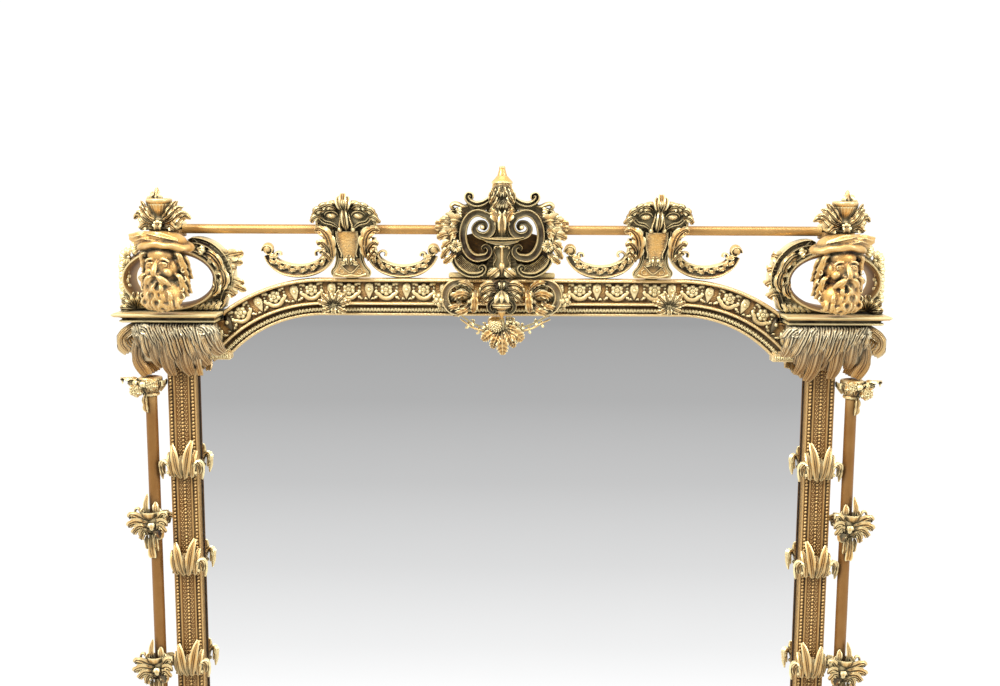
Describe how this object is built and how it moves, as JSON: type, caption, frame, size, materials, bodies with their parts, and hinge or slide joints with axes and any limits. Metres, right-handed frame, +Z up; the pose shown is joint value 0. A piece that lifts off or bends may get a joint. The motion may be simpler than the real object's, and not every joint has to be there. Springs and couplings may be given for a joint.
{
  "type": "wall mirror",
  "caption": "Gilded overmantel wall mirror with an arched moulded frieze, flat pilasters, slim colonnettes, corner masks and an open crest of rails and scrolls",
  "frame": {"origin": "the middle of the backboard's flat back, which lies against the wall", "axes": "+Z up, -Y out of the wall toward the viewer, +Y into the wall, +X to the viewer's right"},
  "size_m": [1.669, 0.1793, 1.7979],
  "materials": {
    "gilt": "water-gilded composition on wood, pale gold where burnished, dark red-brown in the recesses",
    "rod_gilt": "plain rods in older, browner gilding",
    "mirror_plate": "clear silvered plate",
    "pine_back": "bare aged pine boards"
  },
  "bodies": {
    "root": {"backboard": "pine_back", "mirror_plate": "mirror_plate", "arched_frieze": "gilt", "base_rail": "gilt", "base_block_left": "gilt", "base_block_right": "gilt", "pilaster_left": "gilt", "pilaster_right": "gilt", "shelf_left": "gilt", "shelf_right": "gilt", "leaf_capital_left": "gilt", "leaf_capital_right": "gilt", "corner_cartouche_left": "gilt", "corner_cartouche_right": "gilt", "mask_left": "gilt", "mask_right": "gilt", "corner_finial_left": "gilt", "corner_finial_right": "gilt", "gallery_rail_outer_left": "rod_gilt", "gallery_rail_outer_right": "rod_gilt", "gallery_rail_inner_left": "rod_gilt", "gallery_rail_inner_right": "rod_gilt", "palmette_crest_left": "gilt", "palmette_crest_right": "gilt", "scroll_outer_left": "gilt", "scroll_outer_right": "gilt", "scroll_inner_left": "gilt", "scroll_inner_right": "gilt", "centre_cartouche": "gilt", "centre_pendant": "gilt", "flower_spray": "gilt", "frieze_scroll_left": "gilt", "frieze_scroll_right": "gilt", "frieze_sprig_left": "gilt", "frieze_sprig_right": "gilt", "colonnette_left": "rod_gilt", "colonnette_right": "rod_gilt", "leaf_cup_left_1": "gilt", "leaf_cup_left_2": "gilt", "leaf_cup_left_3": "gilt", "leaf_cup_left_4": "gilt", "leaf_cup_right_1": "gilt", "leaf_cup_right_2": "gilt", "leaf_cup_right_3": "gilt", "leaf_cup_right_4": "gilt", "leaf_collar_left_1": "gilt", "leaf_collar_left_2": "gilt", "leaf_collar_left_3": "gilt", "leaf_collar_left_4": "gilt", "leaf_collar_right_1": "gilt", "leaf_collar_right_2": "gilt", "leaf_collar_right_3": "gilt", "leaf_collar_right_4": "gilt"}
  },
  "joints": []
}
